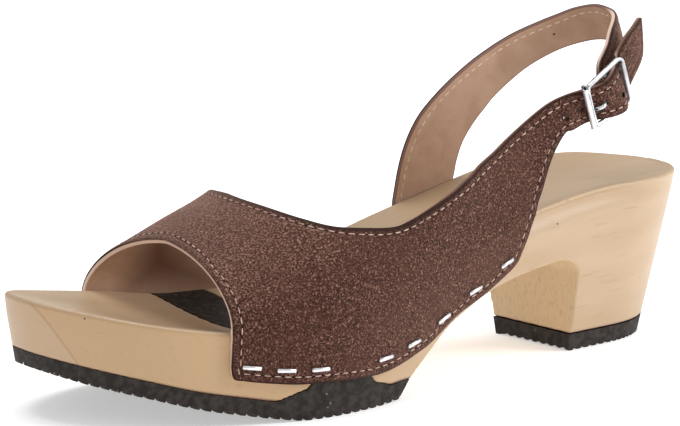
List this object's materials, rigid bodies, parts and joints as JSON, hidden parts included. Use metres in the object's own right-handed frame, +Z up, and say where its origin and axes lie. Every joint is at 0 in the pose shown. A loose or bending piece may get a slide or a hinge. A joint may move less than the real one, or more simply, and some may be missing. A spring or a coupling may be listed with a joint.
{
  "type": "clog sandal",
  "caption": "Left clog sandal: split wooden sole with block heel and rubber flex joint, open-toe suede upper stapled along its edge, and a buckled sling-back strap.",
  "frame": {"origin": "on the ground, under the middle of the shoe's box", "axes": "+X towards the toe, +Y towards the outer side of the left foot, +Z up"},
  "size_m": [0.2498, 0.0968, 0.1146],
  "materials": {
    "wood": "pale, smooth, satin",
    "rubber": "near-black, matt",
    "suede": "brown suede outside, smooth tan lining inside",
    "nickel": "bright nickel plate"
  },
  "bodies": {
    "root": {"sole_toe_block": "wood", "sole_heel_block": "wood", "outsole": "rubber", "heel_tip": "rubber", "upper": "suede", "buckle_frame": "nickel", "buckle_prong": "nickel", "staple_outer_1": "nickel", "staple_outer_2": "nickel", "staple_outer_3": "nickel", "staple_outer_4": "nickel", "staple_outer_5": "nickel", "staple_outer_6": "nickel", "staple_outer_7": "nickel", "staple_outer_8": "nickel", "staple_inner_1": "nickel", "staple_inner_2": "nickel", "staple_inner_3": "nickel", "staple_inner_4": "nickel", "staple_inner_5": "nickel", "staple_inner_6": "nickel", "staple_inner_7": "nickel", "staple_inner_8": "nickel"}
  },
  "joints": []
}
